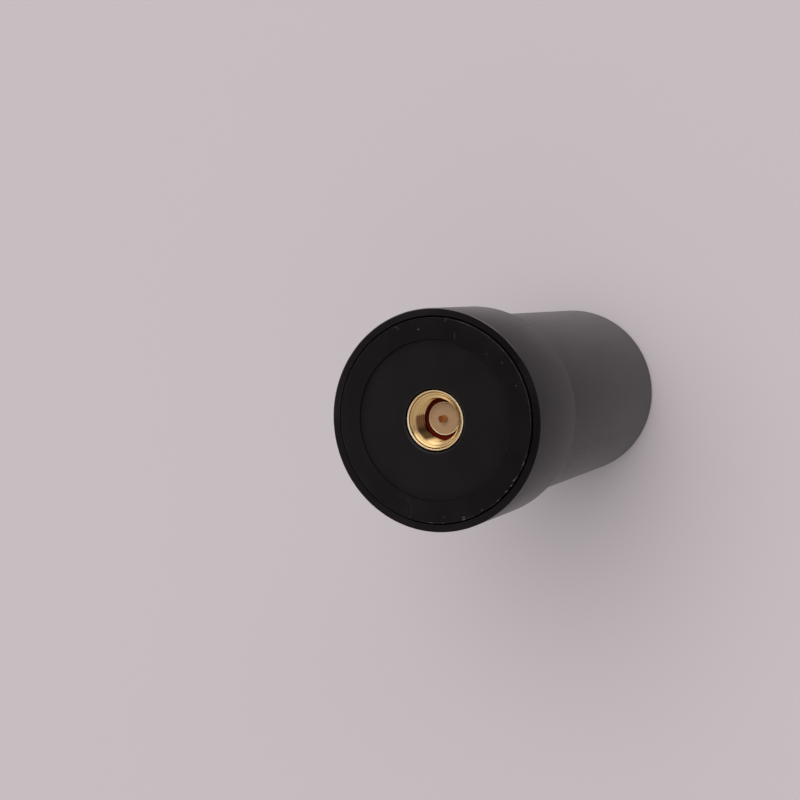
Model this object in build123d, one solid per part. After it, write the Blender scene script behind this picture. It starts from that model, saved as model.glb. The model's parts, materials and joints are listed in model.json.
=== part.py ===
"""Active helical satellite antenna in a round housing, with a screw-on coaxial plug in its base.

Millimetres. It stands on the closed end of its housing: the origin is the centre of that end face,
and +Z runs up the axis and out of the base, where the plug opens.
"""
from build123d import *
import os
from math import cos, radians, sin

# Housing
TUBE_D = 27.0             # plain tube
TUBE_WALL = 1.3
COLLAR_STEP = 1.3         # collar beyond the tube, all round
COLLAR_WALL = 1.0
HOUSING_LENGTH = 59.6     # closed end to collar rim
END_WALL = 1.5
LEDGE_WALL = 1.2          # between the outer shoulder and the inner ledge
END_EDGE_R = 0.7
RIM_OUTER_R = 0.1
RIM_INNER_R = 0.1
SHOULDER_R = 0.25

# Base cap
CAP_GAP = 0.2             # round the cap, inside the collar
CAP_PROUD = 0.2           # cap face above the collar rim
CAP_PLATE = 3.0
CAP_EDGE_R = 0.12
SKIRT_WALL = 1.3
FACE_LAND = 2.85          # flat ring round the recess
RECESS_DEPTH = 0.3
RECESS_EDGE_R = 0.08
SLEEVE_HOLE_GAP = 0.22    # round the plug's sleeve
SLEEVE_HOLE_CHAMFER = 0.22
BOSS_D = 3.6
BOSS_ROOM = 0.3           # between a boss and the skirt
BOSS_COUNT = 3
SCREW_ENGAGE = 3.4        # screw length inside a boss

# Seal in the skirt
SEAL_D = 1.1              # section of the ring
SEAL_GROOVE = 1.3
SEAL_SQUEEZE = 0.05       # left between the ring and the collar
SEAL_DROP = 4.6           # below the cap face

# Coaxial plug
THREAD_BORE_D = 5.9       # mean diameter of the inner thread
SLEEVE_WALL = 1.05        # round the thread's bore
SLEEVE_SUNK = 0.55        # mouth below the cap face
SLEEVE_LENGTH = 6.4
MOUTH_STEP = 0.5          # mouth wider than the thread's bore, all round
MOUTH_DEPTH = 0.7
LIP_FLAT = 0.05           # between the two chamfers of the lip
RING_SUNK = 3.25          # contact ring below the sleeve's mouth
RING_D = 4.52
DIELECTRIC_D = 4.1
GASKET_SUNK = 0.6         # gasket below the contact ring
GASKET_HEIGHT = 1.3
GASKET_STEP = 0.2         # gasket wider than the thread's bore, all round
PRESS_WALL = 0.6          # sleeve round the shoulder that it is pressed on
FLANGE_SIDE = 9.6
FLANGE_THICK = 0.8
LEG_SIDE = 1.0
LEG_PITCH = 5.08
LEG_OUT = 0.7             # legs and pin beyond the board
PIN_D = 0.91
PIN_OUT = 1.2             # pin beyond the dielectric
PIN_TIP = 0.12
PIN_TIP_END_D = 0.6

# Boards and screening can
BOARD_THICK = 1.0
BOARD_EDGE_GAP = 0.25
BOARD_HOLE_GAP = 0.15
CAN_SIDE = 10.0
CAN_HEIGHT = 2.3
CAN_ROOM = 1.55           # from the can's folded edge to the feed board
CAN_SHEET = 0.2
LID_SHEET = 0.15
LID_LIP = 1.0

# Components
CHIP_EDGE = 1.15          # middle of a component from the can's wall
CHIP_GAP = 0.15
AMPLIFIER_SIDE = 1.5
AMPLIFIER_HEIGHT = 0.75
FILTER_LENGTH = 1.4
FILTER_WIDTH = 1.1
FILTER_HEIGHT = 0.6
FILTER_PITCH = 2.4
REGULATOR_LENGTH = 2.9
REGULATOR_WIDTH = 1.6
REGULATOR_HEIGHT = 1.1
INDUCTOR_LENGTH = 1.6
INDUCTOR_WIDTH = 0.8
INDUCTOR_HEIGHT = 0.8
CAPACITOR_LENGTH = 1.0
CAPACITOR_WIDTH = 0.5
CAPACITOR_HEIGHT = 0.5
MATCH_X = 1.2             # matching capacitors, beside the centre pin
MATCH_Y = 0.9
HYBRID_LENGTH = 2.0
HYBRID_WIDTH = 1.3
HYBRID_HEIGHT = 0.8
HYBRID_CIRCLE_D = 4.0
HYBRID_COUNT = 3

# Header between the boards
LINK_COUNT = 4
LINK_PITCH = 1.6
LINK_PIN_SIDE = 0.5
LINK_WIDTH = 1.6
LINK_CLEAR = 0.4          # pins clear of the former
LINK_OUT = 0.6            # pins beyond both boards

# Helix
FORMER_ROOM = 2.2         # between the former and the tube
FORMER_WALL = 1.0
FOAM_THICK = 3.4
FOAM_ROOM = 1.2           # between the foam and the tube
ARM_COUNT = 4
ARM_WIDTH = 3.2           # along the circle
ARM_THICK = 0.2
ARM_TURN = 180.0          # degrees over its length
ARM_END_GAP = 4.0         # bare former beyond the arms
FORMER_BOSS_D = 3.6
FORMER_BOSS_LENGTH = 6.0
FORMER_WEB = 0.5          # web between a boss and the former's wall
FORMER_SCREW_TURN = 30.0
FORMER_SCREW_ENGAGE = 4.0

# Screws
SCREW_D = 1.6
SCREW_HEAD_D = 2.8
SCREW_HEAD = 0.9
SLOT_WIDTH = 0.4
SLOT_DEPTH = 0.4

# Clearance of seated round pieces
FIT = 0.02

# Diameters, worked out from the sizes above
COLLAR_D = TUBE_D + 2 * COLLAR_STEP
TUBE_BORE_D = TUBE_D - 2 * TUBE_WALL
COLLAR_BORE_D = COLLAR_D - 2 * COLLAR_WALL
CAP_D = COLLAR_BORE_D - 2 * CAP_GAP
SKIRT_BORE_D = CAP_D - 2 * SKIRT_WALL
RECESS_D = CAP_D - 2 * FACE_LAND
SLEEVE_D = THREAD_BORE_D + 2 * SLEEVE_WALL
SLEEVE_HOLE_D = SLEEVE_D + 2 * SLEEVE_HOLE_GAP
MOUTH_BORE_D = THREAD_BORE_D + 2 * MOUTH_STEP
LIP_CHAMFER = (SLEEVE_D - MOUTH_BORE_D) / 4 - LIP_FLAT / 2
GASKET_D = THREAD_BORE_D + 2 * GASKET_STEP
PRESS_D = SLEEVE_D - 2 * PRESS_WALL
BOSS_CIRCLE_D = SKIRT_BORE_D - BOSS_D - 2 * BOSS_ROOM
FORMER_D = TUBE_BORE_D - 2 * FORMER_ROOM
FORMER_SCREW_CIRCLE_D = FORMER_D - 2 * FORMER_WALL - 2 * FORMER_WEB - FORMER_BOSS_D
FOAM_D = TUBE_BORE_D - 2 * FOAM_ROOM

# Levels, worked out from the sizes above, from the base down
RIM_Z = HOUSING_LENGTH
FACE_Z = RIM_Z + CAP_PROUD
PLATE_Z = FACE_Z - CAP_PLATE
MOUTH_Z = FACE_Z - SLEEVE_SUNK
SLEEVE_Z = MOUTH_Z - SLEEVE_LENGTH
RING_Z = MOUTH_Z - RING_SUNK
GASKET_TOP_Z = RING_Z - GASKET_SUNK
GASKET_Z = GASKET_TOP_Z - GASKET_HEIGHT
FLANGE_Z = SLEEVE_Z - FLANGE_THICK
AMP_TOP_Z = FLANGE_Z
AMP_Z = AMP_TOP_Z - BOARD_THICK
CAN_Z = AMP_Z - CAN_HEIGHT
FEED_TOP_Z = CAN_Z - CAN_ROOM
LEDGE_Z = FEED_TOP_Z - BOARD_THICK
SHOULDER_Z = LEDGE_Z - LEDGE_WALL
FORMER_TOP_Z = LEDGE_Z
FORMER_Z = END_WALL + FOAM_THICK
ARM_TOP_Z = FORMER_TOP_Z
ARM_Z = FORMER_Z + ARM_END_GAP

# Places on the boards
LINK_Y = -FORMER_D / 2 - LINK_CLEAR - LINK_PIN_SIDE / 2
CHIP_LANE = CAN_SIDE / 2 - CAN_SHEET - CHIP_EDGE
BESIDE_AMPLIFIER = AMPLIFIER_SIDE / 2 + CHIP_GAP + INDUCTOR_WIDTH / 2


def rod(diameter, z0, z1, x=0.0, y=0.0):
    """A round bar along Z, between two levels."""
    bar = Solid.make_cylinder(diameter / 2, z1 - z0)
    return bar.moved(Location((x, y, z0)))


def block(dx, dy, z0, z1, x=0.0, y=0.0):
    """A square-edged block between two levels, centred on x and y."""
    body = Solid.make_box(dx, dy, z1 - z0)
    return body.moved(Location((x - dx / 2, y - dy / 2, z0)))


def ring(outer_d, inner_d, z0, z1):
    return rod(outer_d, z0, z1) - rod(inner_d, z0, z1)


def on_circle(diameter, count, start=0.0):
    """Places spread evenly on a circle, as x and y."""
    step = 360.0 / count
    angles = [radians(start + step * i) for i in range(count)]
    return [(diameter / 2 * cos(a), diameter / 2 * sin(a)) for a in angles]


def circles(body, diameter, z):
    """The circular edges of one diameter round the axis, at one level."""
    found = []
    for edge in body.edges().filter_by(GeomType.CIRCLE):
        centre = edge.arc_center
        on_axis = abs(centre.X) < 1e-6 and abs(centre.Y) < 1e-6
        if on_axis and abs(centre.Z - z) < 1e-4 and abs(edge.radius - diameter / 2) < 1e-4:
            found.append(edge)
    return found


def round_edges(body, diameter, z, radius):
    return body.fillet(radius, circles(body, diameter, z))


def one(shape):
    """The single solid that a cut or a joining leaves."""
    return shape.solids()[0]


def radome_housing():
    body = rod(TUBE_D, 0, SHOULDER_Z + LEDGE_WALL / 2) + rod(COLLAR_D, SHOULDER_Z, RIM_Z)
    body = body - rod(TUBE_BORE_D, END_WALL, RIM_Z) - rod(COLLAR_BORE_D, LEDGE_Z, RIM_Z)
    body = one(body)
    body = round_edges(body, TUBE_D, 0, END_EDGE_R)
    body = round_edges(body, COLLAR_D, RIM_Z, RIM_OUTER_R)
    body = round_edges(body, COLLAR_BORE_D, RIM_Z, RIM_INNER_R)
    return round_edges(body, COLLAR_D, SHOULDER_Z, SHOULDER_R)


def boss_places():
    return on_circle(BOSS_CIRCLE_D, BOSS_COUNT, 90.0)


def base_cap():
    """Plate, skirt and screw bosses, moulded in one."""
    body = rod(CAP_D, PLATE_Z, FACE_Z) + ring(CAP_D, SKIRT_BORE_D, FEED_TOP_Z, PLATE_Z)
    for x, y in boss_places():
        body += rod(BOSS_D, AMP_TOP_Z, PLATE_Z, x, y)
    body -= rod(RECESS_D, FACE_Z - RECESS_DEPTH, FACE_Z)
    body -= rod(SLEEVE_HOLE_D, PLATE_Z, FACE_Z)
    for x, y in boss_places():
        body -= rod(SCREW_D, AMP_TOP_Z, AMP_TOP_Z + SCREW_ENGAGE, x, y)
    groove_d = COLLAR_BORE_D - 2 * SEAL_SQUEEZE - 2 * SEAL_D
    seal_z = FACE_Z - SEAL_DROP
    body -= ring(CAP_D, groove_d, seal_z - SEAL_GROOVE / 2, seal_z + SEAL_GROOVE / 2)
    body = one(body)
    body = round_edges(body, CAP_D, FACE_Z, CAP_EDGE_R)
    body = round_edges(body, RECESS_D, FACE_Z, RECESS_EDGE_R)
    hole = circles(body, SLEEVE_HOLE_D, FACE_Z - RECESS_DEPTH)
    return body.chamfer(SLEEVE_HOLE_CHAMFER, None, hole)


def cap_seal():
    centre_r = COLLAR_BORE_D / 2 - SEAL_SQUEEZE - SEAL_D / 2
    return Solid.make_torus(centre_r, SEAL_D / 2).moved(Location((0, 0, FACE_Z - SEAL_DROP)))


def connector_sleeve():
    """Outer sleeve of the plug; the thread's bore is plain here, at its mean diameter."""
    body = rod(SLEEVE_D, SLEEVE_Z, MOUTH_Z)
    body -= rod(MOUTH_BORE_D, MOUTH_Z - MOUTH_DEPTH, MOUTH_Z)
    body -= rod(THREAD_BORE_D, GASKET_TOP_Z, MOUTH_Z)
    body -= rod(GASKET_D + 2 * FIT, GASKET_Z, GASKET_TOP_Z)
    body -= rod(PRESS_D, SLEEVE_Z, GASKET_Z)
    body = one(body)
    mouth = circles(body, SLEEVE_D, MOUTH_Z) + circles(body, MOUTH_BORE_D, MOUTH_Z)
    return body.chamfer(LIP_CHAMFER, None, mouth)


def connector_body():
    """Contact ring, press shoulder, square flange and four solder legs, turned and milled in one."""
    body = rod(RING_D, GASKET_Z, RING_Z) + rod(PRESS_D, SLEEVE_Z, GASKET_Z)
    body += block(FLANGE_SIDE, FLANGE_SIDE, FLANGE_Z, SLEEVE_Z)
    half = LEG_PITCH / 2
    for x in (-half, half):
        for y in (-half, half):
            body += block(LEG_SIDE, LEG_SIDE, AMP_Z - LEG_OUT, FLANGE_Z, x, y)
    return one(body - rod(DIELECTRIC_D + 2 * FIT, FLANGE_Z, RING_Z))


def connector_dielectric():
    return one(rod(DIELECTRIC_D, AMP_TOP_Z, RING_Z) - rod(PIN_D + 2 * FIT, AMP_TOP_Z, RING_Z))


def centre_pin():
    top = RING_Z + PIN_OUT
    body = rod(PIN_D, AMP_Z - LEG_OUT, top - PIN_TIP)
    tip = Solid.make_cone(PIN_D / 2, PIN_TIP_END_D / 2, PIN_TIP)
    return one(body + tip.moved(Location((0, 0, top - PIN_TIP))))


def sealing_gasket():
    return one(ring(GASKET_D, RING_D + 2 * FIT, GASKET_Z, GASKET_TOP_Z))


def link_places():
    first = -LINK_PITCH * (LINK_COUNT - 1) / 2
    return [(first + LINK_PITCH * i, LINK_Y) for i in range(LINK_COUNT)]


def amplifier_board():
    body = rod(SKIRT_BORE_D - 2 * BOARD_EDGE_GAP, AMP_Z, AMP_TOP_Z)
    body -= rod(PIN_D + 2 * BOARD_HOLE_GAP, AMP_Z, AMP_TOP_Z)
    half = LEG_PITCH / 2
    hole = LEG_SIDE + 2 * BOARD_HOLE_GAP
    for x in (-half, half):
        for y in (-half, half):
            body -= block(hole, hole, AMP_Z, AMP_TOP_Z, x, y)
    for x, y in boss_places():
        body -= rod(SCREW_D + 2 * BOARD_HOLE_GAP, AMP_Z, AMP_TOP_Z, x, y)
    for x, y in link_places():
        body -= block(LINK_PIN_SIDE + 2 * FIT, LINK_PIN_SIDE + 2 * FIT, AMP_Z, AMP_TOP_Z, x, y)
    return one(body)


def slotted_screw(head_z, tip_z, x, y):
    """Cheese-head screw; its head starts at head_z and its tip is at tip_z, above or below."""
    way = 1 if head_z > tip_z else -1
    top = head_z + way * SCREW_HEAD
    body = rod(SCREW_D - 2 * FIT, min(head_z, tip_z), max(head_z, tip_z), x, y)
    body += rod(SCREW_HEAD_D, min(head_z, top), max(head_z, top), x, y)
    floor = top - way * SLOT_DEPTH
    return one(body - block(SLOT_WIDTH, SCREW_HEAD_D, min(top, floor), max(top, floor), x, y))


def board_screws():
    tip = AMP_TOP_Z + SCREW_ENGAGE - FIT
    return [slotted_screw(AMP_Z, tip, x, y) for x, y in boss_places()]


def shield_frame():
    """Four folded walls soldered to the amplifier board, with an inward lip that carries the lid."""
    inner = CAN_SIDE - 2 * CAN_SHEET
    body = block(CAN_SIDE, CAN_SIDE, CAN_Z, AMP_Z) - block(inner, inner, CAN_Z, AMP_Z)
    lip = block(inner, inner, CAN_Z, CAN_Z + CAN_SHEET)
    return one(body + (lip - block(inner - 2 * LID_LIP, inner - 2 * LID_LIP, CAN_Z, CAN_Z + CAN_SHEET)))


def shield_lid():
    """Sheet lid that snaps over the frame."""
    inner = CAN_SIDE + 2 * FIT
    outer = inner + 2 * LID_SHEET
    edge_z = CAN_Z + LID_LIP
    return one(block(outer, outer, CAN_Z - LID_SHEET, edge_z) - block(inner, inner, CAN_Z, edge_z))


def chip(dx, dy, height, x, y):
    """A component on the lower face of the amplifier board."""
    return block(dx, dy, AMP_Z - height, AMP_Z, x, y)


def first_amplifier():
    return chip(AMPLIFIER_SIDE, AMPLIFIER_SIDE, AMPLIFIER_HEIGHT, -CHIP_LANE, 0.0)


def second_amplifier():
    return chip(AMPLIFIER_SIDE, AMPLIFIER_SIDE, AMPLIFIER_HEIGHT, CHIP_LANE, 0.0)


def saw_filters():
    half = FILTER_PITCH / 2
    return [chip(FILTER_LENGTH, FILTER_WIDTH, FILTER_HEIGHT, x, CHIP_LANE) for x in (-half, half)]


def voltage_regulator():
    return chip(REGULATOR_LENGTH, REGULATOR_WIDTH, REGULATOR_HEIGHT, 0.0, -CHIP_LANE)


def bias_inductor():
    return chip(INDUCTOR_LENGTH, INDUCTOR_WIDTH, INDUCTOR_HEIGHT, -CHIP_LANE, -BESIDE_AMPLIFIER)


def board_capacitors():
    """Three beside the amplifiers and three round the centre pin."""
    places = [(-CHIP_LANE, BESIDE_AMPLIFIER), (CHIP_LANE, BESIDE_AMPLIFIER), (CHIP_LANE, -BESIDE_AMPLIFIER)]
    places += [(-MATCH_X, MATCH_Y), (MATCH_X, MATCH_Y), (MATCH_X, -MATCH_Y)]
    return [chip(CAPACITOR_LENGTH, CAPACITOR_WIDTH, CAPACITOR_HEIGHT, x, y) for x, y in places]


def former_screw_places():
    return on_circle(FORMER_SCREW_CIRCLE_D, BOSS_COUNT, FORMER_SCREW_TURN)


def feed_board():
    body = rod(COLLAR_BORE_D - 2 * BOARD_EDGE_GAP, LEDGE_Z, FEED_TOP_Z)
    for x, y in former_screw_places():
        body -= rod(SCREW_D + 2 * BOARD_HOLE_GAP, LEDGE_Z, FEED_TOP_Z, x, y)
    for x, y in link_places():
        body -= block(LINK_PIN_SIDE + 2 * FIT, LINK_PIN_SIDE + 2 * FIT, LEDGE_Z, FEED_TOP_Z, x, y)
    return one(body)


def phase_hybrids():
    top = FEED_TOP_Z + HYBRID_HEIGHT
    places = on_circle(HYBRID_CIRCLE_D, HYBRID_COUNT, 90.0)
    return [block(HYBRID_LENGTH, HYBRID_WIDTH, FEED_TOP_Z, top, x, y) for x, y in places]


def link_header():
    length = LINK_PITCH * LINK_COUNT
    body = block(length, LINK_WIDTH, FEED_TOP_Z, AMP_Z, 0, LINK_Y)
    for x, y in link_places():
        body -= block(LINK_PIN_SIDE + 2 * FIT, LINK_PIN_SIDE + 2 * FIT, FEED_TOP_Z, AMP_Z, x, y)
    return one(body)


def link_pins():
    z0 = LEDGE_Z - LINK_OUT
    z1 = AMP_TOP_Z + LINK_OUT
    return [block(LINK_PIN_SIDE, LINK_PIN_SIDE, z0, z1, x, y) for x, y in link_places()]


def helix_former():
    body = ring(FORMER_D, FORMER_D - 2 * FORMER_WALL, FORMER_Z, FORMER_TOP_Z)
    boss_r = FORMER_SCREW_CIRCLE_D / 2
    boss_z = FORMER_TOP_Z - FORMER_BOSS_LENGTH
    reach = FORMER_D / 2 - FORMER_WALL / 2 - boss_r
    web = block(reach, FORMER_WALL, boss_z, FORMER_TOP_Z, boss_r + reach / 2)
    for i in range(BOSS_COUNT):
        body += web.rotate(Axis.Z, FORMER_SCREW_TURN + 360.0 / BOSS_COUNT * i)
    for x, y in former_screw_places():
        body += rod(FORMER_BOSS_D, boss_z, FORMER_TOP_Z, x, y)
    for x, y in former_screw_places():
        body -= rod(SCREW_D, FORMER_TOP_Z - FORMER_SCREW_ENGAGE, FORMER_TOP_Z, x, y)
    return one(body)


def former_screws():
    tip = FORMER_TOP_Z - FORMER_SCREW_ENGAGE + FIT
    return [slotted_screw(FEED_TOP_Z, tip, x, y) for x, y in former_screw_places()]


def helix_arm(index):
    """One copper strip, wound up the outside of the former to the feed board."""
    inner = FORMER_D / 2 + FIT
    outer = inner + ARM_THICK
    half = ARM_WIDTH / 2 / inner
    def at(radius, angle):
        return (radius * cos(angle), radius * sin(angle))
    inner_arc = ThreePointArc(at(inner, -half), at(inner, 0), at(inner, half))
    outer_arc = ThreePointArc(at(outer, half), at(outer, 0), at(outer, -half))
    sides = [Line(at(inner, half), at(outer, half)), Line(at(outer, -half), at(inner, -half))]
    section = Face(Wire([inner_arc, sides[0], outer_arc, sides[1]]))
    length = ARM_TOP_Z - ARM_Z
    strip = Solid.extrude_linear_with_rotation(section, (0, 0, 0), (0, 0, length), ARM_TURN)
    return strip.rotate(Axis.Z, 360.0 / ARM_COUNT * index).moved(Location((0, 0, ARM_Z)))


def foam_pad():
    return rod(FOAM_D, END_WALL, FORMER_Z)


def pieces():
    """Every node by name."""
    made = {
        "radome_housing": radome_housing(),
        "base_cap": base_cap(),
        "cap_seal": cap_seal(),
        "connector_sleeve": connector_sleeve(),
        "connector_body": connector_body(),
        "connector_dielectric": connector_dielectric(),
        "centre_pin": centre_pin(),
        "sealing_gasket": sealing_gasket(),
        "amplifier_board": amplifier_board(),
        "board_screws": board_screws(),
        "shield_frame": shield_frame(),
        "shield_lid": shield_lid(),
        "first_amplifier": first_amplifier(),
        "second_amplifier": second_amplifier(),
        "saw_filters": saw_filters(),
        "voltage_regulator": voltage_regulator(),
        "bias_inductor": bias_inductor(),
        "board_capacitors": board_capacitors(),
        "feed_board": feed_board(),
        "phase_hybrids": phase_hybrids(),
        "link_header": link_header(),
        "link_pins": link_pins(),
        "helix_former": helix_former(),
        "former_screws": former_screws(),
        "foam_pad": foam_pad(),
    }
    for i in range(ARM_COUNT):
        made[f"helix_arm_{i + 1}"] = helix_arm(i)
    return made


os.makedirs("parts", exist_ok=True)
for name, shape in pieces().items():
    solids = shape if isinstance(shape, list) else [shape]
    whole = solids[0] if len(solids) == 1 else Compound(children=solids)
    export_step(whole, f"parts/{name}.step")
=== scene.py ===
"""Helical satellite antenna: finishes, turned meshes, studio and camera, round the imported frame."""
import json
import math
import random

import bpy
import bmesh
from mathutils import Matrix, Vector

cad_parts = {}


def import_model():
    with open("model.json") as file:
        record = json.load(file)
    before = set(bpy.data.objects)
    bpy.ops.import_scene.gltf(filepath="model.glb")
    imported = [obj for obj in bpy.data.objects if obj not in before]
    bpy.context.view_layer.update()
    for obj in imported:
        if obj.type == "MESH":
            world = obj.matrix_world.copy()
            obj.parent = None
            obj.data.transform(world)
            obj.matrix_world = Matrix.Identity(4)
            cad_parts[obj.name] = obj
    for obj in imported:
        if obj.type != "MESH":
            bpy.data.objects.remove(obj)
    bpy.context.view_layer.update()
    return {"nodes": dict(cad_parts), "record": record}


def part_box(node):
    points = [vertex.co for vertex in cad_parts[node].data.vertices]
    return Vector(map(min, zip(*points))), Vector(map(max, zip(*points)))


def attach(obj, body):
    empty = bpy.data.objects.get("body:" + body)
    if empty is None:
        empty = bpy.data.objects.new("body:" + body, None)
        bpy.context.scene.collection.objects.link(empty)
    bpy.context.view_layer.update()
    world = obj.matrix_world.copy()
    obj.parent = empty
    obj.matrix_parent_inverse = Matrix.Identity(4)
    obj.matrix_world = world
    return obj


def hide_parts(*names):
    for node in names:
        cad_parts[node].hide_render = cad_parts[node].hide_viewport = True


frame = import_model()
MM = 0.001
TAU = 2 * math.pi

# Places read from the frame
_, HOUSING_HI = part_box("radome_housing")
CAP_LO, CAP_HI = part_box("base_cap")
SLEEVE_LO, SLEEVE_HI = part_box("connector_sleeve")
BODY_LO, BODY_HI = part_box("connector_body")
INSULATOR_LO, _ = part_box("connector_dielectric")
PIN_LO, PIN_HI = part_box("centre_pin")
GASKET_LO, GASKET_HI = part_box("sealing_gasket")
_, BOARD_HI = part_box("amplifier_board")
RIM_Z = HOUSING_HI.z
FACE_Z = CAP_HI.z
MOUTH_Z = SLEEVE_HI.z
RING_Z = BODY_HI.z
COLLAR_R = HOUSING_HI.x
CAP_R = CAP_HI.x
SLEEVE_R = SLEEVE_HI.x

# Housing, as the solid has it, and the rounds of its edges
TUBE_R = 13.5 * MM
TUBE_BORE_R = 12.2 * MM
COLLAR_BORE_R = 13.8 * MM
SHOULDER_Z = 45.0 * MM
LEDGE_Z = 46.2 * MM
END_WALL = 1.5 * MM
END_ROUND = 0.7 * MM
SHOULDER_ROUND = 0.2 * MM
RIM_ROUND = 0.1 * MM
RIM_BORE_ROUND = 0.08 * MM

# Cap, with the three bosses under it
PLATE_Z = 56.8 * MM
SKIRT_BORE_R = 12.3 * MM
SEAL_Z = 55.2 * MM
SEAL_GROOVE_R = 12.65 * MM
SEAL_GROOVE_HALF = 0.65 * MM
RECESS_R = 10.75 * MM
RECESS_DEPTH = 0.3 * MM
SLEEVE_HOLE_R = 4.22 * MM
HOLE_CHAMFER = 0.22 * MM
CAP_ROUND = 0.12 * MM
RECESS_ROUND = 0.06 * MM
NICK_REACH = 0.13 * MM
BOSS_R = 1.8 * MM
BOSS_HOLE_R = 0.8 * MM
BOSS_HOLE_DEPTH = 3.4 * MM
BOSS_CIRCLE_R = 10.2 * MM
BOSS_ANGLES = [math.radians(angle) for angle in (90, 210, 330)]

# Plug: sleeve with its thread, contact ring, insulator and pin
LIP_R = 3.79 * MM
LEAD_R = 3.40 * MM
RELIEF_R = 3.18 * MM
RELIEF = 0.45 * MM
THREAD_MINOR_R = 2.93 * MM
THREAD_MAJOR_R = 3.27 * MM
THREAD_PITCH = 25.4 * MM / 36
THREAD_START = math.radians(205)
THREAD_ROWS = 190
CREST_SHARE = 0.14
FLANK_SHARE = 0.70
RUN_OUT = 0.25 * THREAD_PITCH
CONE_TOP_R = LEAD_R - 0.02 * MM
CONE_TOP_Z = MOUTH_Z - 0.47 * MM
CONE_FOOT_Z = MOUTH_Z - 0.76 * MM
CONE_DEPTH = 0.29 * MM
CONE_SLOPE = (CONE_TOP_R - THREAD_MINOR_R) / CONE_DEPTH
PRESS_R = 3.4 * MM
PRESS_Z = 54.1 * MM
RING_R = 2.26 * MM
INSULATOR_R = 2.05 * MM
PIN_R = 0.455 * MM
PIN_TIP_R = 0.35 * MM
PIN_CHAMFER = 0.12 * MM
PIN_ROUND = 0.05 * MM
LEG_PLACE = 2.54 * MM
LEG_HALF = 0.5 * MM
SLIP = 0.02 * MM

SHARP_ANGLE = 35.0


def arc_points(corner, before, after, radius, steps):
    """Points of the round that joins two straight runs at a corner of an outline."""
    a = (Vector(before) - Vector(corner)).normalized()
    b = (Vector(after) - Vector(corner)).normalized()
    half = a.angle(b) / 2
    centre = Vector(corner) + (a + b).normalized() * radius / math.sin(half)
    start = Vector(corner) + a * radius / math.tan(half)
    end = Vector(corner) + b * radius / math.tan(half)
    first, last = start - centre, end - centre
    turn = first.angle_signed(last)
    points = []
    for i in range(steps + 1):
        angle = -turn * i / steps
        x = first.x * math.cos(angle) - first.y * math.sin(angle)
        y = first.x * math.sin(angle) + first.y * math.cos(angle)
        points.append((centre.x + x, centre.y + y))
    return points


def outline(corners, steps=6):
    """A closed section in r and z. Each corner is (r, z) or (r, z, radius of its round)."""
    made = []
    count = len(corners)
    for i, corner in enumerate(corners):
        if len(corner) == 2:
            made.append(corner)
            continue
        before, after = corners[i - 1][:2], corners[(i + 1) % count][:2]
        made += arc_points(corner[:2], before, after, corner[2], steps)
    return made


def mesh_object(name, verts, faces, sharp_angle):
    mesh = bpy.data.meshes.new(name)
    mesh.from_pydata(verts, [], faces)
    mesh.validate()
    work = bmesh.new()
    work.from_mesh(mesh)
    bmesh.ops.remove_doubles(work, verts=work.verts, dist=1e-8)
    bmesh.ops.recalc_face_normals(work, faces=work.faces)
    work.to_mesh(mesh)
    work.free()
    mesh.shade_smooth()
    mesh.set_sharp_from_angle(angle=math.radians(sharp_angle))
    made = bpy.data.objects.new(name, mesh)
    bpy.context.scene.collection.objects.link(made)
    return made


def turned(name, section, segments, shape=None, sharp_angle=SHARP_ANGLE):
    """Turns a closed section round the axis. shape moves a point: (row, angle, r, z) to (r, z)."""
    rows = len(section)
    on_axis = [abs(r) < 1e-9 for r, z in section]
    verts, index = [], {}
    for k, (r, z) in enumerate(section):
        for j in range(1 if on_axis[k] else segments):
            angle = TAU * j / segments
            r2, z2 = shape(k, angle, r, z) if shape else (r, z)
            index[k, j] = len(verts)
            verts.append((r2 * math.cos(angle), r2 * math.sin(angle), z2))
    faces = []
    for k in range(rows):
        n = (k + 1) % rows
        if on_axis[k] and on_axis[n]:
            continue
        for j in range(segments):
            i = (j + 1) % segments
            a, b = index[k, 0 if on_axis[k] else j], index[k, 0 if on_axis[k] else i]
            c, d = index[n, 0 if on_axis[n] else i], index[n, 0 if on_axis[n] else j]
            face = [a, b, c, d]
            faces.append([v for s, v in enumerate(face) if v not in face[:s]])
    return mesh_object(name, verts, faces, sharp_angle)


def joined(first, *others):
    """Several closed meshes as one piece."""
    work = bmesh.new()
    for part in (first, *others):
        work.from_mesh(part.data)
    work.to_mesh(first.data)
    work.free()
    for part in others:
        bpy.data.objects.remove(part)
    first.data.shade_smooth()
    first.data.set_sharp_from_angle(angle=math.radians(SHARP_ANGLE))
    return first


def placed(piece, x, y, turn=0.0):
    """Turns and moves the mesh itself, so that the object stays at the origin."""
    piece.data.transform(Matrix.Translation((x, y, 0.0)) @ Matrix.Rotation(turn, 4, "Z"))
    return piece


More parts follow.
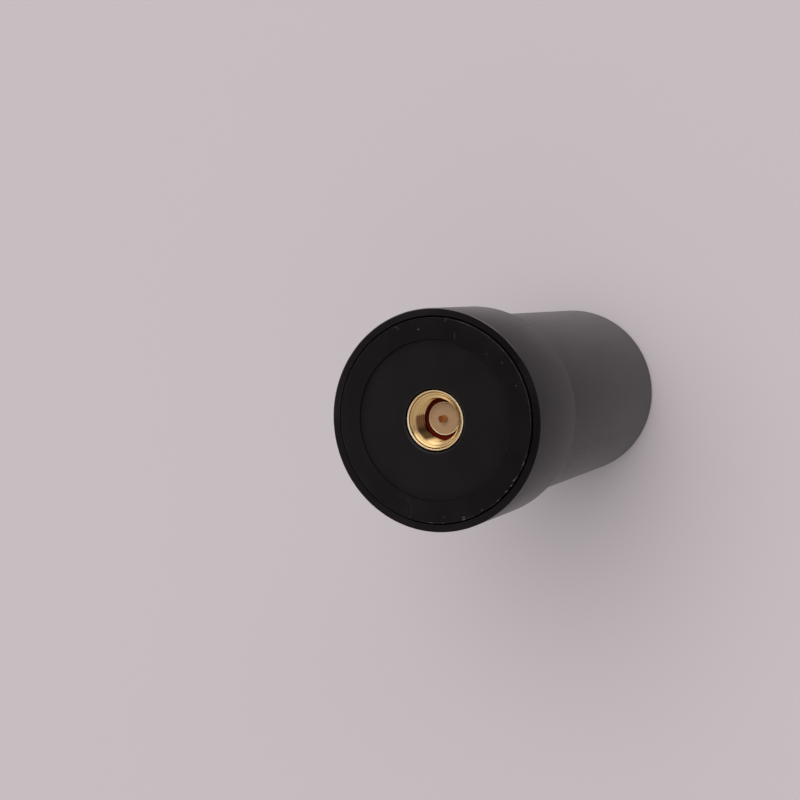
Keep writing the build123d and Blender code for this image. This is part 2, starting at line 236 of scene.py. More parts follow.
class Wire:
    """A shader socket that takes part in sums."""

    def __init__(self, tree, socket):
        self.tree = tree
        self.socket = socket

    def sum(self, operation, *terms):
        return self.tree.node("ShaderNodeMath", {"operation": operation}, dict(enumerate(terms)))

    def __add__(self, other):
        return self.sum("ADD", self, other)

    def __radd__(self, other):
        return self.sum("ADD", other, self)

    def __sub__(self, other):
        return self.sum("SUBTRACT", self, other)

    def __rsub__(self, other):
        return self.sum("SUBTRACT", other, self)

    def __mul__(self, other):
        return self.sum("MULTIPLY", self, other)

    def __rmul__(self, other):
        return self.sum("MULTIPLY", other, self)

    def __pow__(self, other):
        return self.sum("POWER", self, other)

    def smaller(self, other):
        return self.sum("MINIMUM", self, other)

    def larger(self, other):
        return self.sum("MAXIMUM", self, other)

    def size(self):
        return self.sum("ABSOLUTE", self)

    def rise(self, low, high):
        """0 below low and 1 above high, smooth between."""
        settings = {"interpolation_type": "SMOOTHSTEP"}
        inputs = {0: self, 1: low, 2: high, 3: 0.0, 4: 1.0}
        return self.tree.node("ShaderNodeMapRange", settings, inputs)

    def near(self, place, width):
        """1 at a value and 0 at width away from it."""
        return 1 - (self - place).size().rise(0.0, width)


class Tree:
    """The nodes of one material, world or lamp."""

    def __init__(self, owner):
        owner.use_nodes = True
        self.nodes = owner.node_tree.nodes
        self.links = owner.node_tree.links
        self.nodes.clear()

    def node(self, kind, settings=None, inputs=None, out=0):
        made = self.nodes.new(kind)
        for key, value in (settings or {}).items():
            setattr(made, key, value)
        for key, value in (inputs or {}).items():
            if isinstance(value, Wire):
                self.links.new(value.socket, made.inputs[key])
            else:
                made.inputs[key].default_value = value
        return Wire(self, made.outputs[out])

    def mix(self, share, first, second):
        """Between two colours."""
        colours = [c if isinstance(c, Wire) else (*c, 1.0) for c in (first, second)]
        settings = {"data_type": "RGBA", "clamp_factor": True}
        return self.node("ShaderNodeMix", settings, {0: share, 6: colours[0], 7: colours[1]}, out=2)

    def place(self):
        """Where a point is on the object, in metres."""
        return self.node("ShaderNodeTexCoord", out=3)

    def parts(self, vector):
        split = self.node("ShaderNodeSeparateXYZ", {}, {0: vector})
        return [Wire(self, split.socket.node.outputs[i]) for i in range(3)]

    def point(self, x, y=0.0, z=0.0):
        return self.node("ShaderNodeCombineXYZ", {}, {0: x, 1: y, 2: z})

    def bearing(self, x, y):
        """The angle round the axis, from -pi to pi."""
        return self.node("ShaderNodeMath", {"operation": "ARCTAN2"}, {0: y, 1: x})

    def stretched(self, vector, scale):
        return self.node("ShaderNodeVectorMath", {"operation": "MULTIPLY"}, {0: vector, 1: scale})

    def noise(self, vector, scale, detail=2.0, roughness=0.5):
        inputs = {"Vector": vector, "Scale": scale, "Detail": detail, "Roughness": roughness}
        return self.node("ShaderNodeTexNoise", {}, inputs)

    def cells(self, vector, scale, feature="F1", randomness=1.0):
        inputs = {"Vector": vector, "Scale": scale, "Randomness": randomness}
        return self.node("ShaderNodeTexVoronoi", {"feature": feature}, inputs)

    def bump(self, height, distance):
        inputs = {"Strength": 1.0, "Distance": distance, "Height": height}
        return self.node("ShaderNodeBump", {}, inputs)

    def finish(self, shader):
        self.links.new(shader.socket, self.nodes.new("ShaderNodeOutputMaterial").inputs[0])


def material(name, build):
    made = bpy.data.materials.new(name)
    tree = Tree(made)
    tree.finish(tree.node("ShaderNodeBsdfPrincipled", {}, build(tree)))
    return made


def polar(tree, place):
    """A point's x, y and z, and its distance from the axis."""
    x, y, z = tree.parts(place)
    r = (x * x + y * y) ** 0.5
    return x, y, z, r


def strokes(x, y, marks):
    """Small marks on a face, each a short stroke: (x1, y1, x2, y2, width, strength), in mm."""
    total = None
    for x1, y1, x2, y2, width, strength in marks:
        along = Vector(((x2 - x1) * MM, (y2 - y1) * MM))
        px, py = x - x1 * MM, y - y1 * MM
        share = (px * along.x + py * along.y) * (1 / max(along.length_squared, 1e-12))
        share = share.smaller(1.0).larger(0.0)
        dx, dy = px - share * along.x, py - share * along.y
        away = (dx * dx + dy * dy) ** 0.5
        mark = (1 - away.rise(width * 0.2 * MM, width * 0.75 * MM)) * strength
        total = mark if total is None else total.larger(mark)
    return total


def specks(tree, place, scale, size, share):
    """Small dots of dust, kept in a share of the places."""
    dots = 1 - tree.cells(place, scale).rise(size * 0.6, size)
    kept = tree.noise(place, scale * 0.31, 1.0).rise(1 - share, 1.02 - share)
    return dots * kept


# Specks, fibres and scratches on the face: (x1, y1, x2, y2, width, strength) in mm
FACE_MARKS = [
    (12.13, -0.66, 12.15, -0.62, 0.17, 0.36),
    (13.19, 2.64, 12.98, 2.30, 0.09, 0.16),
    (12.98, 2.30, 12.69, 2.11, 0.09, 0.16),
    (12.84, -4.93, 12.32, -4.59, 0.09, 0.14),
    (11.70, -6.76, 11.50, -7.35, 0.09, 0.14),
    (10.58, -5.55, 9.81, -5.40, 0.09, 0.10),
    (6.99, -9.33, 7.01, -9.30, 0.13, 0.14),
    (5.44, -11.16, 5.46, -11.13, 0.14, 0.20),
    (2.19, -12.38, 2.20, -12.30, 0.13, 0.17),
    (-5.40, -9.32, -5.42, -9.29, 0.14, 0.16),
    (3.61, -13.50, 3.30, -13.52, 0.12, 0.24),
    (-9.55, -9.46, -9.70, -9.30, 0.15, 0.32),
    (-10.82, -8.09, -10.90, -7.92, 0.14, 0.28),
    (-12.19, -6.20, -12.24, -5.90, 0.12, 0.26),
    (-12.65, -4.17, -12.67, -4.10, 0.14, 0.20),
    (-13.17, -1.52, -13.19, -1.30, 0.16, 0.22),
    (-12.70, 1.28, -12.72, 1.40, 0.12, 0.14),
    (-10.47, 6.45, -11.19, 6.57, 0.09, 0.04),
    (-8.79, 7.16, -8.99, 6.94, 0.08, 0.055),
    (-9.45, 6.18, -9.72, 5.68, 0.09, 0.065),
    (-9.98, 5.71, -10.62, 5.66, 0.08, 0.04),
    (-10.62, 5.66, -11.57, 5.93, 0.08, 0.045),
    (-11.77, 6.09, -11.95, 6.41, 0.10, 0.08),
]


HOUSING_BLACKS = (0.0106, 0.0090, 0.0094), (0.0126, 0.0108, 0.0112)
# Painted shade on the housing
PAINTED_SHADE_BLACK = (0.0035, 0.0028, 0.0030)
# Rubs, hairlines and dust on the housing, its painted highlights, and its lighter closed end
RUBBED_AND_HIGHLIGHT_GREY = (0.20, 0.180, 0.185)
LAND_BLACK = (0.0040, 0.0028, 0.0038)
RECESS_BLACK = (0.0080, 0.0062, 0.0074)
DUSTED_BLACK = (0.02, 0.018, 0.020)
# Painted light on one side of the cap's face
LIT_BLACK = (0.022, 0.0195, 0.0205)
# Painted shade around the recess's wall
CREASE_SHADE_BLACK = (0.001, 0.001, 0.001)
# Chips, specks and fibres on the cap, and the painted highlight along its edge
CHIPPED_AND_HIGHLIGHT_GREY = (0.32, 0.30, 0.30)
PLATE_GOLDS = (0.86, 0.58, 0.24), (0.95, 0.69, 0.33)
PIN_GOLD = (0.74, 0.38, 0.14)
# Painted dark reflection on the pin's tip
TIP_REFLECTION_BROWN = (0.27, 0.072, 0.013)
# Painted highlight on the pin's chamfer
PIN_HIGHLIGHT_GOLD = (1.0, 0.80, 0.58)
# Painted highlights on the contact ring and the lip, and on two stretches of the lip
RING_HIGHLIGHT_GOLD = (1.0, 0.80, 0.50)
LIP_HIGHLIGHT_GOLD = (1.0, 0.84, 0.62)
STRETCH_HIGHLIGHT_GOLD = (1.0, 0.88, 0.68)
# Painted dark reflection in the bore, and painted shade in the groove behind the lip
BORE_REFLECTION_BROWNS = (0.17, 0.045, 0.012), (0.035, 0.014, 0.004)
GROOVE_SHADE_BROWN = (0.12, 0.050, 0.016)
# Insulator tones darkened with painted shade of the bore
SHADED_INSULATOR_TONES = (0.47, 0.295, 0.165), (0.53, 0.340, 0.195)


def housing_finish(tree):
    """Satin black moulding: fine even grain, soft smears from handling, hairlines and a little dust, with
    painted shade near the collar and on one side of the rim's face, and painted highlights on the shoulder's
    edge and on one side of the rim's outer edge.
    """
    place = tree.place()
    x, y, z, r = polar(tree, place)
    grain = tree.noise(place, 5200.0, 3.0, 0.6)
    flow = tree.noise(tree.stretched(place, (1.0, 1.0, 0.25)), 160.0, 3.0, 0.55)
    cloud = tree.noise(place, 60.0, 2.0)
    smear = tree.noise(tree.stretched(place, (1.0, 1.0, 2.0)), 120.0, 3.0, 0.5).rise(0.45, 0.80)
    side = r.rise(TUBE_R - 0.1 * MM, TUBE_R)
    hair = tree.noise(tree.stretched(place, (1.0, 0.35, 2.2)), 620.0, 2.0, 0.4).near(0.5, 0.012)
    hair = hair * tree.noise(place, 130.0, 1.0).rise(0.50, 0.62) * side
    dust = specks(tree, place, 760.0, 0.07, 0.36)
    face = z.rise(RIM_Z - 0.3 * MM, RIM_Z - 0.15 * MM)
    # Painted highlight: a light line along the shoulder's edge
    edge = r.rise(COLLAR_R - 0.12 * MM, COLLAR_R) * z.near(SHOULDER_Z, 0.22 * MM)
    # Painted highlight along the rim's outer edge, on one side only
    front = r.rise(COLLAR_R - 0.14 * MM, COLLAR_R - 0.06 * MM) * z.rise(RIM_Z - 0.14 * MM, RIM_Z - 0.06 * MM)
    front = front * x.rise(3 * MM, 11 * MM) * tree.noise(place, 300.0, 2.0).rise(0.1, 0.5)
    # Smears, hairlines and dust, with the two painted highlights
    rubbed_and_highlit = smear * 0.028 * side + hair * 0.03 + edge * 0.34 + front * 0.7 + dust * 0.20
    base = tree.mix(cloud, *HOUSING_BLACKS)
    # Painted shade: the sides darker towards the collar
    base = tree.mix(z.rise(36 * MM, 47 * MM) * (1 - face) * 0.7, base, PAINTED_SHADE_BLACK)
    # Painted shade: the rim's face darker towards one side
    base = tree.mix(face * (1 - y.rise(-14 * MM, -5 * MM)) * 0.7, base, PAINTED_SHADE_BLACK)
    # Lighter towards the closed end
    base = tree.mix((1 - z.rise(0.0, 38 * MM)) * 0.05, base, RUBBED_AND_HIGHLIGHT_GREY)
    base = tree.mix(rubbed_and_highlit, base, RUBBED_AND_HIGHLIGHT_GREY)
    return {
        "Base Color": base,
        "Roughness": 0.20 + flow * 0.10 + grain * 0.02,
        "Normal": tree.bump(grain * 0.5 + flow * 0.5, 0.010 * MM),
        "Specular IOR Level": 0.08,
        "Specular Tint": (1.0, 0.95, 0.90, 1.0),
    }


def cap_finish(tree):
    """Black moulded cap: a land, a lighter recess floor, wear and chips on the edge, and the odd speck and
    fibre, with a painted highlight along the edge on one side, painted light on one side of the face and painted
    shade around the recess's wall.
    """
    place = tree.place()
    x, y, z, r = polar(tree, place)
    turn = tree.bearing(x, y)
    grain = tree.noise(place, 5200.0, 3.0, 0.6)
    cloud = tree.noise(place, 240.0, 3.0)
    rings = tree.noise(tree.point(r), 2600.0, 2.0)
    top = z.rise(FACE_Z - 0.14 * MM, FACE_Z - 0.04 * MM)
    edge = r.rise(CAP_R - 0.16 * MM, CAP_R - 0.05 * MM) * z.rise(FACE_Z - 0.4 * MM, FACE_Z - 0.1 * MM)
    torn = tree.noise(place, 1500.0, 3.0, 0.7).rise(0.50, 0.60)
    chipped = turn.near(math.radians(-140), math.radians(26)) * torn
    # Painted highlight: a light line along the edge on one side, brighter at the nicks
    highlight_and_nicks = turn.near(math.radians(-62), math.radians(58)).rise(0.0, 0.5) * (0.35 + torn * 0.9)
    ragged = turn.size().rise(math.radians(150), math.radians(170)) * torn * 0.45
    wear_and_highlight = edge * (highlight_and_nicks * 0.06 + chipped * 0.55 + ragged)
    marks = strokes(x, y, FACE_MARKS)
    inner = 1 - r.rise(RECESS_R - 0.10 * MM, RECESS_R)
    # Painted shade around the recess's wall, which is also made rougher
    crease_shade = r.near(RECESS_R - 0.01 * MM, 0.16 * MM) * (1 - top * 0.5)
    faint = specks(tree, place, 820.0, 0.09, 0.46)
    base = tree.mix(inner, LAND_BLACK, RECESS_BLACK)
    base = tree.mix(cloud.rise(0.3, 0.7) * 0.12 + faint * 0.06, base, DUSTED_BLACK)
    # Painted light: the face lighter towards one side
    base = tree.mix(y.rise(-14 * MM, 14 * MM) * 0.16, base, LIT_BLACK)
    base = tree.mix(crease_shade * 0.8, base, CREASE_SHADE_BLACK)
    base = tree.mix(wear_and_highlight.larger(marks), base, CHIPPED_AND_HIGHLIGHT_GREY)
    return {
        "Base Color": base,
        "Roughness": 0.42 + cloud * 0.06 + rings * 0.04 - inner * 0.03 + crease_shade * 0.3,
        "Normal": tree.bump(grain * 0.5 + rings * 0.25 + cloud * 0.25, 0.008 * MM),
        "Specular IOR Level": 0.25,
    }


def gold_finish(tree):
    """Gold plating on turned brass: fine tool rings, a redder pin, painted highlights on the rims and the pin's
    chamfer, and painted dark reflections on the pin's tip and down one side of the bore, with painted shade in
    the groove behind the lip.
    """
    place = tree.place()
    x, y, z, r = polar(tree, place)
    turn = tree.bearing(x, y)
    tool = tree.noise(tree.point(r, z), 9000.0, 2.0, 0.6)
    cloud = tree.noise(place, 700.0, 3.0)

    # The pin, its tip with a painted dark reflection, and a painted highlight on one side of its chamfer
    pin = 1 - r.rise(PIN_R * 1.05, PIN_R * 1.15)
    tip = pin * (1 - r.rise(0.33 * MM, 0.37 * MM))
    tip = tip * z.rise(PIN_HI.z - 0.10 * MM, PIN_HI.z - 0.02 * MM)
    chamfer = pin * (1 - tip) * z.rise(PIN_HI.z - 0.16 * MM, PIN_HI.z - 0.11 * MM)
    # Painted highlight on one side of the chamfer
    nick = chamfer * turn.near(math.radians(95), math.radians(55)).rise(0.0, 0.5)

    # The contact ring's front and the sleeve's lip, with painted highlights on both and two brighter painted
    # stretches on the lip
    ring = r.near(0.5 * (RING_R + INSULATOR_R), 0.26 * MM).rise(0.0, 0.5)
    ring = ring * z.near(RING_Z, 0.2 * MM).rise(0.0, 0.4)
    # The ring is less metallic towards one side, for a brighter painted highlight there
    below = 1 - x.rise(-2.0 * MM, 1.4 * MM)
    lip = r.near(0.5 * (LIP_R + SLEEVE_R), 0.24 * MM).rise(0.0, 0.4)
    lip = lip * z.rise(MOUTH_Z - 0.22 * MM, MOUTH_Z - 0.12 * MM)
    # Two stretches of the lip made brighter, as painted highlights
    stretch = turn.near(math.radians(-88), math.radians(75))
    bright = lip * stretch.larger(turn.near(math.radians(95), math.radians(65)))

    # A painted dark reflection down one side of the bore, darker at one end of it, and painted shade on one side
    # of the groove behind the lip
    deep = 1 - z.rise(MOUTH_Z - 0.85 * MM, MOUTH_Z - 0.60 * MM)
    deep = deep * r.rise(RING_R + 0.2 * MM, RING_R + 0.4 * MM)
    side = turn.rise(math.radians(64), math.radians(72)) * (1 - turn.rise(math.radians(132), math.radians(150)))
    dark = turn.rise(math.radians(92), math.radians(108))
    groove = r.near(LIP_R - 0.08 * MM, 0.15 * MM) * (1 - z.rise(MOUTH_Z - 0.24 * MM, MOUTH_Z - 0.16 * MM))
    groove = groove * (y * 0.8 - x * 0.6).rise(0.0, 2.6 * MM)

    base = tree.mix(cloud, *PLATE_GOLDS)
    base = tree.mix(pin, base, PIN_GOLD)
    # Painted dark reflection on the pin's tip
    base = tree.mix(tip, base, TIP_REFLECTION_BROWN)
    # Painted highlights on the ring and the lip
    base = tree.mix(ring * 0.8, base, RING_HIGHLIGHT_GOLD)
    base = tree.mix(lip * 0.25, base, LIP_HIGHLIGHT_GOLD)
    base = tree.mix(bright * 0.55, base, STRETCH_HIGHLIGHT_GOLD)
    # Painted highlight on the chamfer
    base = tree.mix(nick * 0.9, base, PIN_HIGHLIGHT_GOLD)
    # Painted dark reflection down one side of the bore
    base = tree.mix(side * deep * (0.82 + dark * 0.12), base, tree.mix(dark, *BORE_REFLECTION_BROWNS))
    # Painted shade in the groove, on one side
    base = tree.mix(groove * 0.85, base, GROOVE_SHADE_BROWN)
    # The share that is not metal: on the ring, the lip, its stretches and the chamfer spot it makes painted
    # highlights, and the pin and its tip are less metallic too
    satin_and_highlight = ring * (0.45 + below * 0.45) + lip * 0.62 + bright * 0.22
    satin_and_highlight = satin_and_highlight + pin * 0.35 + tip * 0.30 - chamfer * 0.35 + nick * 0.85
    return {
        "Base Color": base,
        "Metallic": 1 - satin_and_highlight,
        "Roughness": 0.10 + cloud * 0.06 + tool * 0.05 + pin * 0.25 - chamfer * 0.20,
        "Normal": tree.bump(tool, 0.003 * MM),
    }


def insulator_finish(tree):
    """Waxy pale insulator, slightly pink under the gold, with faint facing rings, its tones darkened with
    painted shade of the bore.
    """
    place = tree.place()
    r = polar(tree, place)[3]
    rings = tree.noise(tree.point(r), 9000.0, 2.0)
    cloud = tree.noise(place, 900.0, 3.0)
    return {
        "Base Color": tree.mix(cloud, *SHADED_INSULATOR_TONES),
        "Roughness": 0.40 + cloud * 0.1,
        "Normal": tree.bump(rings * 0.5 + cloud * 0.5, 0.004 * MM),
        "Specular IOR Level": 0.35,
        "Subsurface Weight": 0.15,
        "Subsurface Radius": (0.5 * MM, 0.3 * MM, 0.2 * MM),
    }


def rubber_finish(dark, light, roughness, shine):
    """Smooth rubber between two tones."""
    def build(tree):
        place = tree.place()
        cloud = tree.noise(place, 1200.0, 3.0)
        return {
            "Base Color": tree.mix(cloud, dark, light),
            "Roughness": roughness + cloud * 0.12,
            "Normal": tree.bump(cloud, 0.02 * MM),
            "Specular IOR Level": shine,
        }
    return build


def plain_finish(dark, light, roughness, metallic=0.0, scale=600.0, depth=0.01):
    """A finish that varies softly between two tones."""
    def build(tree):
        place = tree.place()
        cloud = tree.noise(place, scale, 4.0, 0.6)
        return {
            "Base Color": tree.mix(cloud, dark, light),
            "Metallic": metallic,
            "Roughness": roughness + cloud * 0.12,
            "Normal": tree.bump(cloud, depth * MM),
        }
    return build


def board_finish(tree):
    """Green solder mask over faint copper tracks, on glass cloth."""
    place = tree.place()
    weave = tree.cells(place, 1400.0, "F1", 0.1)
    tracks = tree.cells(tree.stretched(place, (1.0, 1.0, 0.0)), 420.0, "DISTANCE_TO_EDGE").rise(0.06, 0.10)
    base = tree.mix(tracks, (0.035, 0.16, 0.08), (0.014, 0.075, 0.035))
    return {
        "Base Color": base,
        "Roughness": 0.28 + weave * 0.1,
        "Normal": tree.bump(weave * 0.3 + tracks * 0.7, 0.02 * MM),
    }


FINISHES = {
    "housing_black": housing_finish,
    "cap_black": cap_finish,
    "seal_rubber": rubber_finish((0.012, 0.012, 0.012), (0.03, 0.03, 0.03), 0.5, 0.4),
    "gold": gold_finish,
    "insulator": insulator_finish,
    "gasket_red": rubber_finish((0.11, 0.006, 0.002), (0.15, 0.010, 0.003), 0.42, 0.15),
    "board_green": board_finish,
    "steel": plain_finish((0.50, 0.50, 0.51), (0.66, 0.66, 0.66), 0.24, 1.0),
    "tinned": plain_finish((0.62, 0.62, 0.60), (0.76, 0.76, 0.74), 0.30, 1.0, 300.0),
    "chip_black": plain_finish((0.02, 0.02, 0.02), (0.04, 0.04, 0.04), 0.5),
    "ceramic_white": plain_finish((0.50, 0.43, 0.33), (0.66, 0.58, 0.46), 0.4),
    "header_black": plain_finish((0.02, 0.02, 0.021), (0.032, 0.03, 0.03), 0.45),
    "former_white": plain_finish((0.66, 0.65, 0.60), (0.78, 0.77, 0.73), 0.42),
    "copper": plain_finish((0.66, 0.30, 0.17), (0.84, 0.46, 0.30), 0.26, 1.0, 500.0),
    "foam_grey": plain_finish((0.10, 0.10, 0.105), (0.24, 0.24, 0.25), 0.8, 0.0, 2600.0, 0.15),
}
MATERIALS = {slot: material(slot, build) for slot, build in FINISHES.items()}
SLOT_OF = {row["node"]: row["material_slot"] for row in frame["record"]["subparts"]}


def dress(piece, slot):
    piece.data.materials.clear()
    piece.data.materials.append(MATERIALS[slot])


def fitted(piece, node):
    """A new piece in the place of a solid: its finish, its body and its slot."""
    dress(piece, SLOT_OF[node])
    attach(piece, "root")
    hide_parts(node)
    return piece


def housing():
    """The tube with its closed end, and the collar with its bore and ledge."""
    section = outline([
        (0.0, 0.0),
        (TUBE_R, 0.0, END_ROUND),
        (TUBE_R, SHOULDER_Z),
        (COLLAR_R, SHOULDER_Z, SHOULDER_ROUND),
        (COLLAR_R, RIM_Z, RIM_ROUND),
        (COLLAR_BORE_R, RIM_Z, RIM_BORE_ROUND),
        (COLLAR_BORE_R, LEDGE_Z),
        (TUBE_BORE_R, LEDGE_Z),
        (TUBE_BORE_R, END_WALL),
        (0.0, END_WALL),
    ], 8)
    return fitted(turned("housing_shell", section, 288), "radome_housing")


def edge_nicks():
    """Angle, width in radians and depth in mm of the small nicks in the cap's edge, most of them on one side."""
    pick = random.Random(7)
    few = [(pick.uniform(0, TAU), pick.uniform(0.006, 0.016), pick.uniform(0.02, 0.05)) for _ in range(26)]
    side = math.radians(220)
    many = [(pick.gauss(side, 0.20), pick.uniform(0.006, 0.018), pick.uniform(0.04, 0.11)) for _ in range(30)]
    return few + many


def cap():
    """The plate with its recess, the skirt with the seal's groove, and three bosses under it."""
    nicks = edge_nicks()
    edge_z = FACE_Z - NICK_REACH
    edge_r = CAP_R - NICK_REACH

    def nicked(row, angle, r, z):
        """Takes the points of the edge in and down where a nick is."""
        if r < edge_r - 1e-7 or z < edge_z - 1e-7:
            return r, z
        bite = 0.0
        for place, width, depth in nicks:
            away = abs((angle - place + math.pi) % TAU - math.pi) / width
            if away < 1:
                bite = max(bite, depth * (1 - away * away))
        share = min(1.0, (r - edge_r) / (CAP_R - edge_r)) * min(1.0, (z - edge_z) / (FACE_Z - edge_z) + 0.3)
        return r - bite * MM * share, z - bite * MM * share * 0.7

    floor_z = FACE_Z - RECESS_DEPTH
    section = outline([
        (SLEEVE_HOLE_R, PLATE_Z),
        (SKIRT_BORE_R, PLATE_Z),
        (SKIRT_BORE_R, CAP_LO.z),
        (CAP_R, CAP_LO.z),
        (CAP_R, SEAL_Z - SEAL_GROOVE_HALF),
        (SEAL_GROOVE_R, SEAL_Z - SEAL_GROOVE_HALF),
        (SEAL_GROOVE_R, SEAL_Z + SEAL_GROOVE_HALF),
        (CAP_R, SEAL_Z + SEAL_GROOVE_HALF),
        (CAP_R, FACE_Z, CAP_ROUND),
        (RECESS_R, FACE_Z, RECESS_ROUND),
        (RECESS_R, floor_z),
        (SLEEVE_HOLE_R + HOLE_CHAMFER, floor_z, RECESS_ROUND),
        (SLEEVE_HOLE_R, floor_z - HOLE_CHAMFER, RECESS_ROUND),
    ], 8)
    plate = turned("cap_plate", section, 640, nicked)
    bosses = []
    for angle in BOSS_ANGLES:
        boss = turned("cap_boss", [
            (BOSS_R, PLATE_Z),
            (BOSS_R, BOARD_HI.z),
            (BOSS_HOLE_R, BOARD_HI.z),
            (BOSS_HOLE_R, BOARD_HI.z + BOSS_HOLE_DEPTH),
            (0.0, BOARD_HI.z + BOSS_HOLE_DEPTH),
            (0.0, PLATE_Z),
        ], 48)
        bosses.append(placed(boss, BOSS_CIRCLE_R * math.cos(angle), BOSS_CIRCLE_R * math.sin(angle)))
    return fitted(joined(plate, *bosses), "base_cap")


def eased(share, ease=0.16):
    """0 to 1 along a straight ramp with rounded ends."""
    if share < ease:
        return max(0.0, share + ease) ** 2 / (4 * ease)
    if share > 1 - ease:
        return 1 - max(0.0, 1 + ease - share) ** 2 / (4 * ease)
    return share


def thread_radius(angle, z, bottom):
    """Radius of the inner thread at a point: narrow crests, straight flanks and rounded roots.

    The thread is cut through the cone above it, and fades out at the bottom.
    """
    turn = ((CONE_FOOT_Z - z) / THREAD_PITCH - (angle - THREAD_START) / TAU) % 1.0
    groove = eased((abs(turn - 0.5) * 2 - CREST_SHARE) / FLANK_SHARE)
    fade = max(0.0, min(1.0, (z - bottom) / RUN_OUT))
    cone = THREAD_MINOR_R + max(0.0, z - CONE_FOOT_Z) * CONE_SLOPE
    return max(cone, THREAD_MINOR_R + (THREAD_MAJOR_R - THREAD_MINOR_R) * groove * fade)


def sleeve():
    """From the outside in: the wall, the lip, its groove, the lead-in, the thread and the relief below it."""
    top = MOUTH_Z - 0.50 * MM
    bottom = GASKET_HI.z + RELIEF
    thread = [(THREAD_MINOR_R, top + (bottom - top) * k / THREAD_ROWS) for k in range(THREAD_ROWS + 1)]
    before = outline([
        (PRESS_R, SLEEVE_LO.z),
        (SLEEVE_R, SLEEVE_LO.z, 0.2 * MM),
        (SLEEVE_R, MOUTH_Z, 0.05 * MM),
        (LIP_R, MOUTH_Z, 0.14 * MM),
        # The fine groove behind the lip
        (LIP_R - 0.01 * MM, MOUTH_Z - 0.29 * MM, 0.02 * MM),
        (LIP_R - 0.13 * MM, MOUTH_Z - 0.16 * MM, 0.03 * MM),
        # The lead-in, down to the cone that the thread cuts
        (LEAD_R, MOUTH_Z - 0.36 * MM, 0.03 * MM),
        (CONE_TOP_R, CONE_TOP_Z),
    ], 6)
    after = [
        (RELIEF_R, bottom - 0.12 * MM),
        (RELIEF_R, PRESS_Z),
        (PRESS_R, PRESS_Z),
    ]
    section = before + thread + after
    first, last = len(before), len(before) + THREAD_ROWS

    def threaded(row, angle, r, z):
        if first <= row <= last:
            return thread_radius(angle, z, bottom), z
        return r, z

    return fitted(turned("threaded_sleeve", section, 240, threaded, 58.0), "connector_sleeve")


def square_radius(angle, half):
    """Distance from the centre to the side of a square, at an angle."""
    return half / max(abs(math.cos(angle)), abs(math.sin(angle)))


def contact_body():
    """The contact ring, the square flange that stands on the board, and its four legs."""
    flange_half = BODY_HI.x
    flange_top = SLEEVE_LO.z
    bore = INSULATOR_R + SLIP
    section = outline([
        (bore, BOARD_HI.z),
        (flange_half, BOARD_HI.z),
        (flange_half, flange_top),
        (PRESS_R, flange_top),
        (PRESS_R, PRESS_Z),
        (RING_R, PRESS_Z),
        (RING_R, RING_Z, 0.09 * MM),
        (bore, RING_Z, 0.07 * MM),
    ], 4)

    def squared(row, angle, r, z):
        return (square_radius(angle, flange_half), z) if row in (1, 2) else (r, z)

    body = turned("contact_ring", section, 192, squared)
    legs = []
    corner = LEG_HALF * math.sqrt(2)
    leg_section = [(0, BODY_LO.z), (corner, BODY_LO.z), (corner, BOARD_HI.z), (0, BOARD_HI.z)]
    for x in (-LEG_PLACE, LEG_PLACE):
        for y in (-LEG_PLACE, LEG_PLACE):
            legs.append(placed(turned("leg", leg_section, 4), x, y, TAU / 8))
    return fitted(joined(body, *legs), "connector_body")


def insulator():
    """The insulator in the contact ring, with the pin's hole."""
    section = outline([
        (PIN_R + SLIP, INSULATOR_LO.z),
        (INSULATOR_R, INSULATOR_LO.z),
        (INSULATOR_R, RING_Z, 0.06 * MM),
        (PIN_R + SLIP, RING_Z),
    ], 5)
    return fitted(turned("insulator_plug", section, 160), "connector_dielectric")


def pin():
    """The contact pin with its chamfered tip."""
    section = outline([
        (0.0, PIN_LO.z),
        (PIN_R, PIN_LO.z),
        (PIN_R, PIN_HI.z - PIN_CHAMFER, PIN_ROUND),
        (PIN_TIP_R, PIN_HI.z, PIN_ROUND),
        (0.0, PIN_HI.z),
    ], 6)
    return fitted(turned("contact_pin", section, 96), "centre_pin")


def gasket():
    """The red ring at the bottom of the thread."""
    section = outline([
        (RING_R + SLIP, GASKET_LO.z),
        (GASKET_HI.x, GASKET_LO.z),
        (GASKET_HI.x, GASKET_HI.z, 0.2 * MM),
        (RING_R + SLIP, GASKET_HI.z, 0.12 * MM),
    ], 6)
    return fitted(turned("silicone_gasket", section, 160), "sealing_gasket")


# Every solid gets its finish, and the seven that show are then replaced
for node, piece in frame["nodes"].items():
    dress(piece, SLOT_OF[node])
for make in (housing, cap, sleeve, contact_body, insulator, pin, gasket):
    make()


# Camera: the photograph's, measured from the circles of the base face
FOCAL_PX = 1481.0
PICTURE_PX = 800.0
SENSOR_MM = 36.0
AXIS_YAW = math.radians(24.63)
AXIS_PITCH = math.radians(-4.07)
FACE_PLACE = Vector((4.340, 2.732, 194.41)) * MM


def photo_axes():
    """Turns a direction in the camera's axes (right, down, ahead) into one in the part's."""
    into = Vector((math.sin(AXIS_YAW) * math.cos(AXIS_PITCH), math.sin(AXIS_PITCH),
                   math.cos(AXIS_YAW) * math.cos(AXIS_PITCH)))
    up = -into
    away = (FACE_PLACE - FACE_PLACE.dot(into) * into).normalized()
    side = away.cross(up)
    return Matrix((side, away, up))


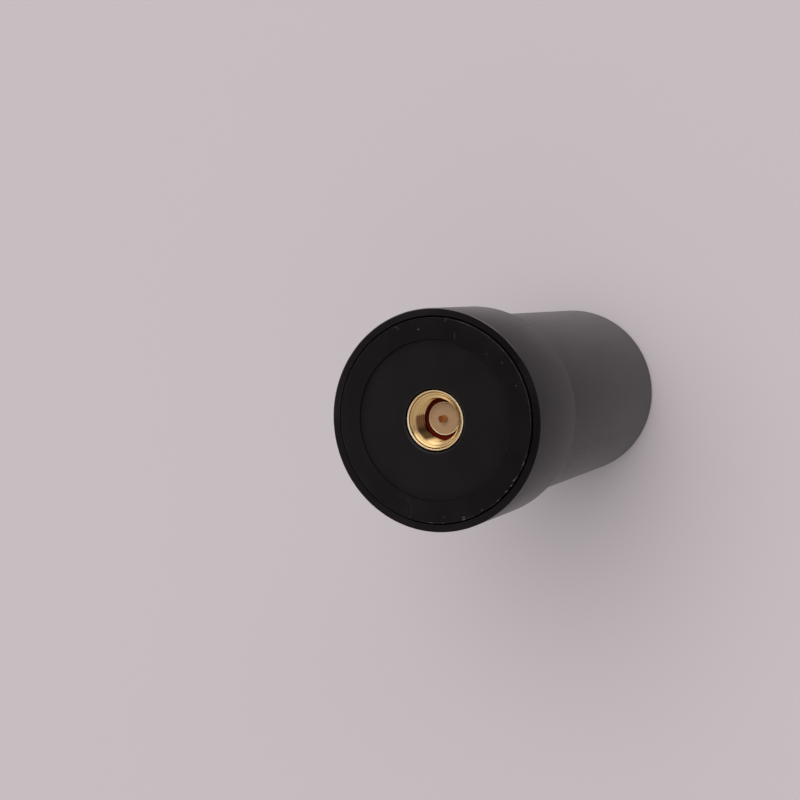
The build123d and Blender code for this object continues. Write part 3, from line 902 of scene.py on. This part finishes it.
def camera():
    to_part = photo_axes()
    right, down, ahead = (to_part @ Vector(v) for v in ((1, 0, 0), (0, 1, 0), (0, 0, 1)))
    made = bpy.data.objects.new("camera", bpy.data.cameras.new("camera"))
    bpy.context.scene.collection.objects.link(made)
    turn = Matrix((right, -down, -ahead)).transposed().to_4x4()
    place = Vector((0, 0, FACE_Z)) - to_part @ FACE_PLACE
    made.matrix_world = Matrix.Translation(place) @ turn
    made.data.sensor_width = SENSOR_MM
    made.data.lens = FOCAL_PX / PICTURE_PX * SENSOR_MM
    made.data.clip_start = 0.01
    bpy.context.scene.camera = made


# Floor and light. A way is a direction, and the two numbers of an edge are the cosines between which it fades.
FLOOR_HALF = 12.0
FLOOR_TONE = (0.553, 0.506, 0.523)
FLOOR_LIFT = 0.12
DARK_WAY = Vector((0.018, 0.420, 0.907))
DARK_EDGE = (0.68, 0.91)
DIM_WAY = Vector((0.25, -0.55, 0.80)).normalized()
DIM_EDGE = (0.965, 0.99)
BRIGHT_WAY = Vector((0.87, -0.45, 0.20)).normalized()
BRIGHT_EDGE = (0.60, 0.90)
LEFT_EDGE = (0.55, 0.98)
WORLD_DARK = 0.03
WORLD_SIDE = 0.45
WORLD_LOW = 0.10
WORLD_BRIGHT = 0.90
WORLD_LEFT = 0.55
WORLD_TINT = (1.0, 0.955, 0.975)
HORIZON_TONE = (0.571, 0.510, 0.531)
KEY_WAY = Vector((0.28, -0.03, 0.96))
KEY_SPREAD = math.radians(50.0)
KEY_STRENGTH = 1.55


def seen_rays(tree):
    """1 for rays that show the backdrop: camera, mirror and clear rays."""
    path = tree.node("ShaderNodeLightPath").socket.node
    kinds = [Wire(tree, path.outputs[n]) for n in ("Is Camera Ray", "Is Glossy Ray", "Is Transmission Ray")]
    return kinds[0].larger(kinds[1]).larger(kinds[2])


def floor():
    """A pale floor that keeps the shadow and is a little lighter where it is seen."""
    work = bmesh.new()
    bmesh.ops.create_grid(work, x_segments=8, y_segments=8, size=FLOOR_HALF)
    mesh = bpy.data.meshes.new("floor")
    work.to_mesh(mesh)
    work.free()
    made = bpy.data.objects.new("floor", mesh)
    bpy.context.scene.collection.objects.link(made)
    owner = bpy.data.materials.new("floor")
    tree = Tree(owner)
    tone = (*FLOOR_TONE, 1.0)
    paint = tree.node("ShaderNodeBsdfDiffuse", {}, {"Color": tone})
    lift = tree.node("ShaderNodeEmission", {}, {"Color": tone, "Strength": seen_rays(tree) * FLOOR_LIFT})
    tree.finish(tree.node("ShaderNodeAddShader", {}, {0: paint, 1: lift}))
    made.data.materials.append(owner)


def world():
    """Pale all round and brightest on one side, with the dark of the room high above the face."""
    made = bpy.data.worlds.new("studio")
    bpy.context.scene.world = made
    tree = Tree(made)
    x, y, z = tree.parts(tree.node("ShaderNodeTexCoord", out=0))

    def toward(way):
        """Cosine of the angle to a direction."""
        return x * way.x + y * way.y + z * way.z

    dark = toward(DARK_WAY).rise(*DARK_EDGE).larger(toward(DIM_WAY).rise(*DIM_EDGE))
    low = 1 - z.rise(0.30, 0.60)
    bright = toward(BRIGHT_WAY).rise(*BRIGHT_EDGE) * WORLD_BRIGHT + y.rise(*LEFT_EDGE) * WORLD_LEFT
    bright = bright + low * WORLD_LOW + WORLD_SIDE
    pale = tree.stretched(tree.point(bright, bright, bright), WORLD_TINT)
    light = tree.mix(dark, pale, (WORLD_DARK,) * 3)
    light = tree.mix(1 - z.rise(0.0, 0.12), light, HORIZON_TONE)
    shade = tree.node("ShaderNodeBackground", {}, {"Color": light, "Strength": 1.0})
    tree.links.new(shade.socket, tree.nodes.new("ShaderNodeOutputWorld").inputs[0])


def key_lamp():
    """A broad even lamp from above, which mirrors don't show."""
    lamp = bpy.data.lights.new("key", "SUN")
    lamp.angle = KEY_SPREAD
    lamp.energy = KEY_STRENGTH
    made = bpy.data.objects.new("key", lamp)
    bpy.context.scene.collection.objects.link(made)
    made.rotation_euler = (-KEY_WAY).to_track_quat("-Z", "Y").to_euler()
    made.visible_glossy = False


camera()
floor()
world()
key_lamp()

bpy.context.scene.view_settings.view_transform = "Standard"
